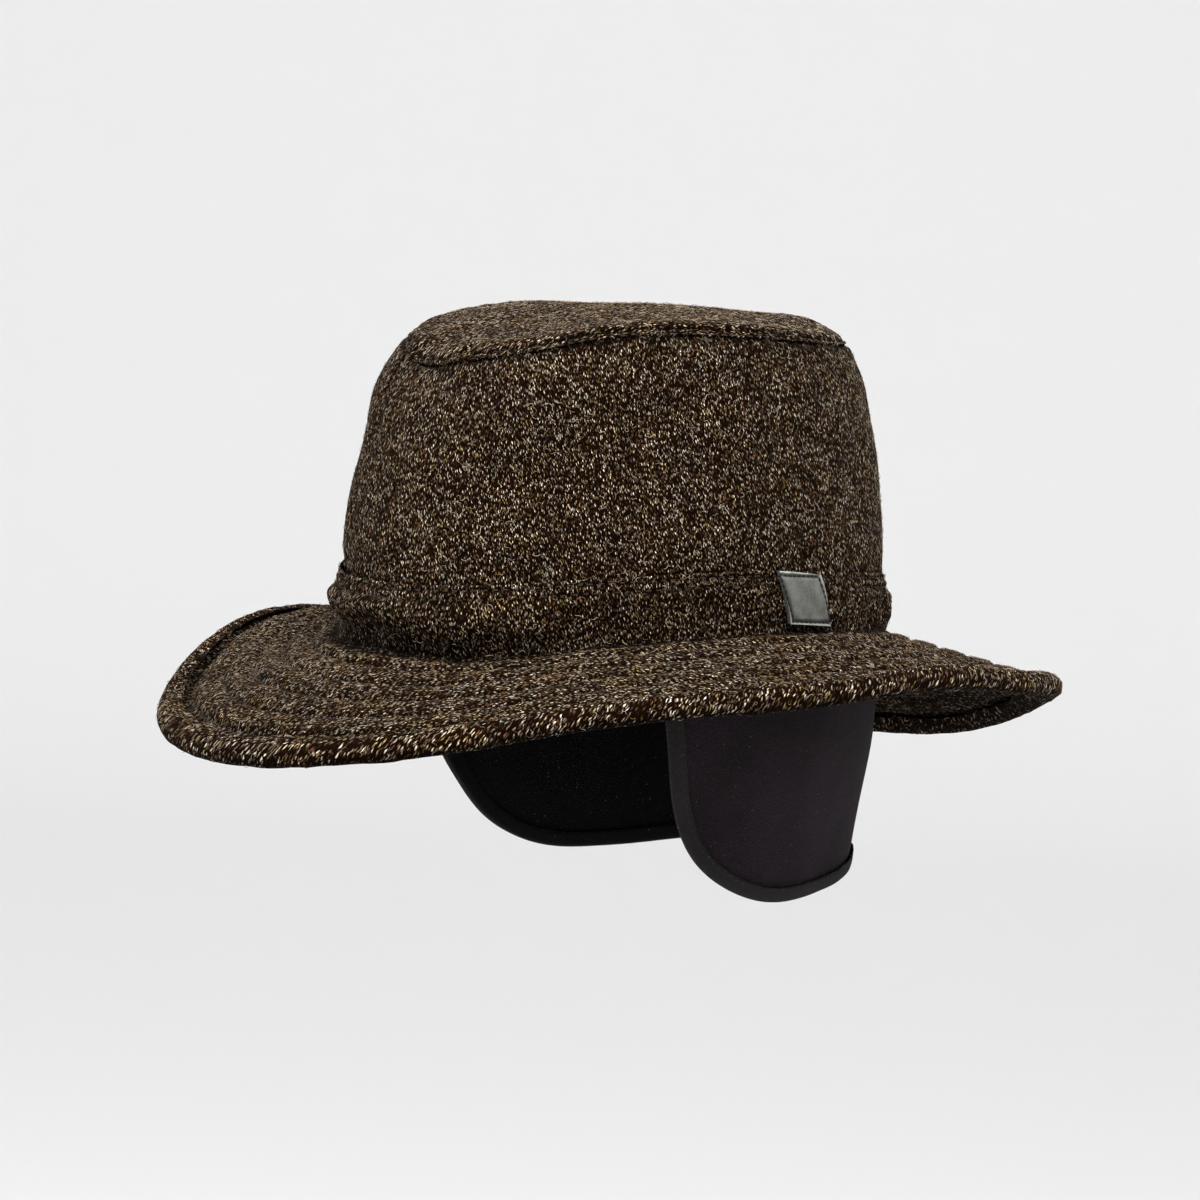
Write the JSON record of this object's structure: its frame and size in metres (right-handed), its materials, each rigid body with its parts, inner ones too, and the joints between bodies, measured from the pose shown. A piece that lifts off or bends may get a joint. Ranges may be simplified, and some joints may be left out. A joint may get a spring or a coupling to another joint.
{
  "type": "wool hat",
  "caption": "Brown tweed wool hat with a soft stitched brim, a self-fabric band and a dark ear warmer whose flaps hang below the brim",
  "frame": {"origin": "centre of the head opening, level with the line where crown and brim meet, on the middle of the hat", "axes": "front of the hat to -Y, wearer's left to +X, up +Z as the hat is worn"},
  "size_m": [0.2938, 0.3222, 0.205],
  "materials": {
    "tweed": "woven tweed",
    "tip_tweed": "woven tweed",
    "band_tweed": "woven tweed",
    "brim_tweed": "woven tweed, stitched in rows",
    "hem_tweed": "woven tweed",
    "grey_leather": "satin",
    "dark_twill": "fine twill",
    "edge_tape": "woven tape"
  },
  "bodies": {
    "root": {"crown_side": "tweed", "crown_tip": "tip_tweed", "hat_band": "band_tweed", "brim": "brim_tweed", "brim_binding": "hem_tweed", "label_patch": "grey_leather", "ear_warmer": "dark_twill", "ear_warmer_binding": "edge_tape"}
  },
  "joints": []
}
